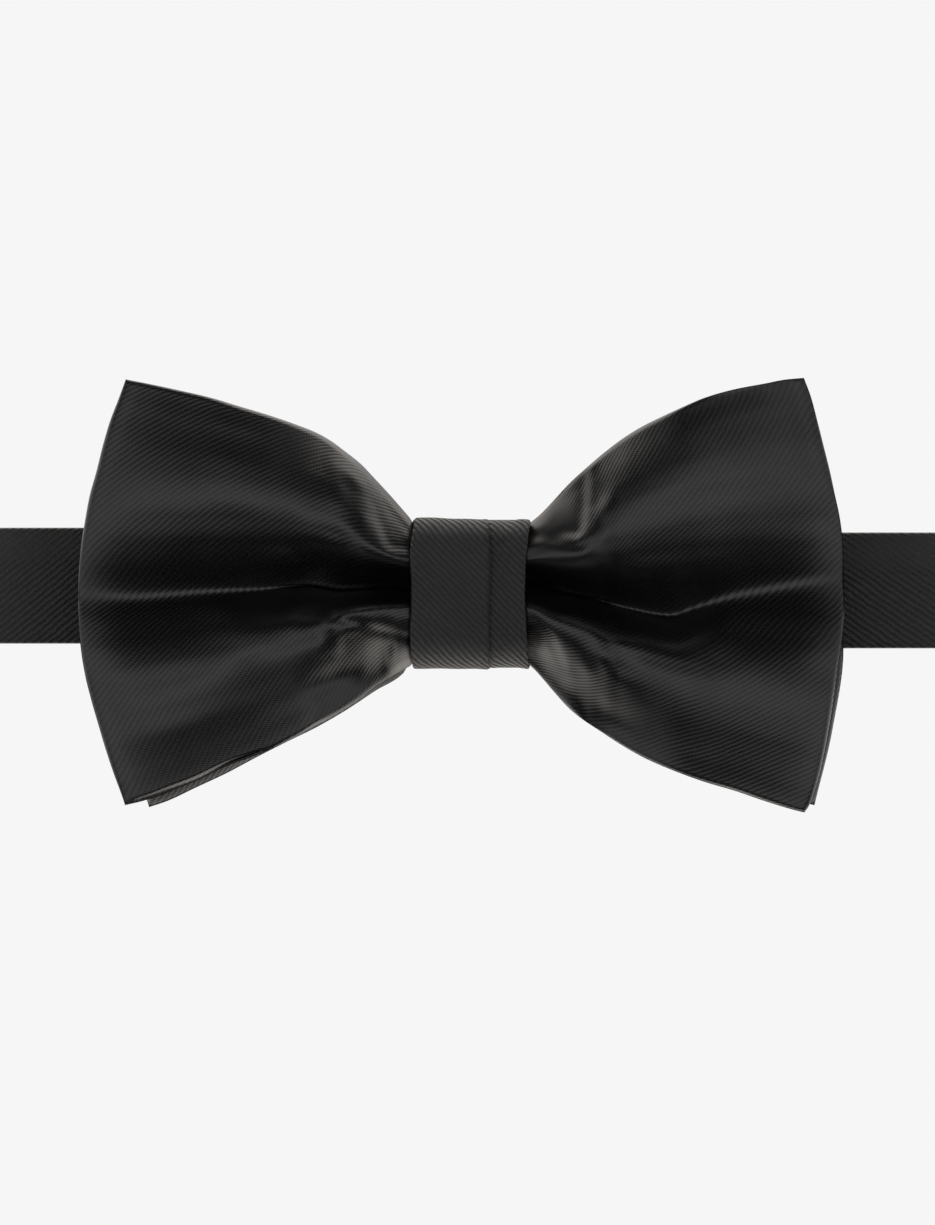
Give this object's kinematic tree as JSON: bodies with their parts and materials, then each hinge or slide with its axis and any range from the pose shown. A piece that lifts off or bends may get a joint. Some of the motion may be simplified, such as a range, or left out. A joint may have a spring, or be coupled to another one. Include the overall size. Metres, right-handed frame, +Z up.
{
  "type": "bow tie",
  "caption": "Pre-tied dress bow tie in black satin twill: two stacked bows gathered by a wrapped knot, on a flat neckband with a hook, an eye and a slider that sets its length.",
  "frame": {"origin": "centre of the flat back face of the knot, where the bow tie lies against the collar", "axes": "+Z up as worn, the bow faces -Y, the neck is on the +Y side, +X runs to the viewer's right across the bow"},
  "size_m": [0.1932, 0.071, 0.068],
  "materials": {
    "satin": "black satin twill, softly glossy with fine diagonal ribs",
    "satin_reverse": "the duller reverse side's panel of the same black satin twill",
    "strap_satin": "black satin twill strap, folded and pressed flat, with fine diagonal ribs",
    "interlining": "dull woven interlining",
    "thread": "black polyester sewing thread",
    "label_cloth": "plain woven ribbon, blank",
    "nickel": "polished nickel-plated steel"
  },
  "bodies": {
    "bow": {"front_bow_face": "satin", "front_bow_interlining": "interlining", "front_bow_back": "satin_reverse", "rear_bow_face": "satin", "rear_bow_interlining": "interlining", "rear_bow_back": "satin_reverse", "gather_thread": "thread", "knot_interlining": "interlining", "knot_wrap": "satin", "knot_stitching": "thread", "band_left_front": "strap_satin", "band_left_front_interlining": "interlining", "band_right_front": "strap_satin", "band_right_front_interlining": "interlining", "size_label": "label_cloth", "size_label_stitching_left": "thread", "size_label_stitching_right": "thread"},
    "left_band": {"band_left_rear": "strap_satin", "band_left_rear_interlining": "interlining", "eye_loop_bartack": "thread"},
    "eye": {"eye_plate": "nickel"},
    "right_band": {"band_right_rear": "strap_satin", "band_right_rear_interlining": "interlining", "band_right_run_end": "strap_satin"},
    "hook_loop": {"band_right_turn": "strap_satin", "band_right_tail": "strap_satin"},
    "slider": {"slider_frame": "nickel", "band_right_sewn_end": "strap_satin", "tail_bartack": "thread"},
    "hook": {"hook_plate": "nickel"}
  },
  "joints": [
    {"name": "left_band_swing", "type": "hinge", "parent": "bow", "child": "left_band", "pos_m": [-0.0966, 0.0253, 0.0004], "axis": [0, 0, 1], "range_deg": [0, 95]},
    {"name": "right_band_swing", "type": "hinge", "parent": "bow", "child": "right_band", "pos_m": [0.0966, 0.0253, -0.00035], "axis": [0, 0, -1], "range_deg": [0, 95]},
    {"name": "eye_turn", "type": "hinge", "parent": "left_band", "child": "eye", "pos_m": [-0.056, 0.05195, 0.0004], "axis": [0, 0, 1], "range_deg": [-80, 80]},
    {"name": "loop_length", "type": "slide", "parent": "right_band", "child": "hook_loop", "axis": [1, 0, 0], "range_m": [-0.012, 0.016], "deforming": ["band_right_run_end"]},
    {"name": "slider_travel", "type": "slide", "parent": "hook_loop", "child": "slider", "axis": [1, 0, 0], "range_m": [-0.012, 0.016], "deforming": ["band_right_tail"]},
    {"name": "hook_turn", "type": "hinge", "parent": "hook_loop", "child": "hook", "pos_m": [-0.012, 0.05195, -0.00035], "axis": [0, 0, 1], "range_deg": [-80, 80]}
  ],
  "couplings": [
    {"joint": "slider_travel", "follows": "loop_length", "ratio": 1}
  ]
}
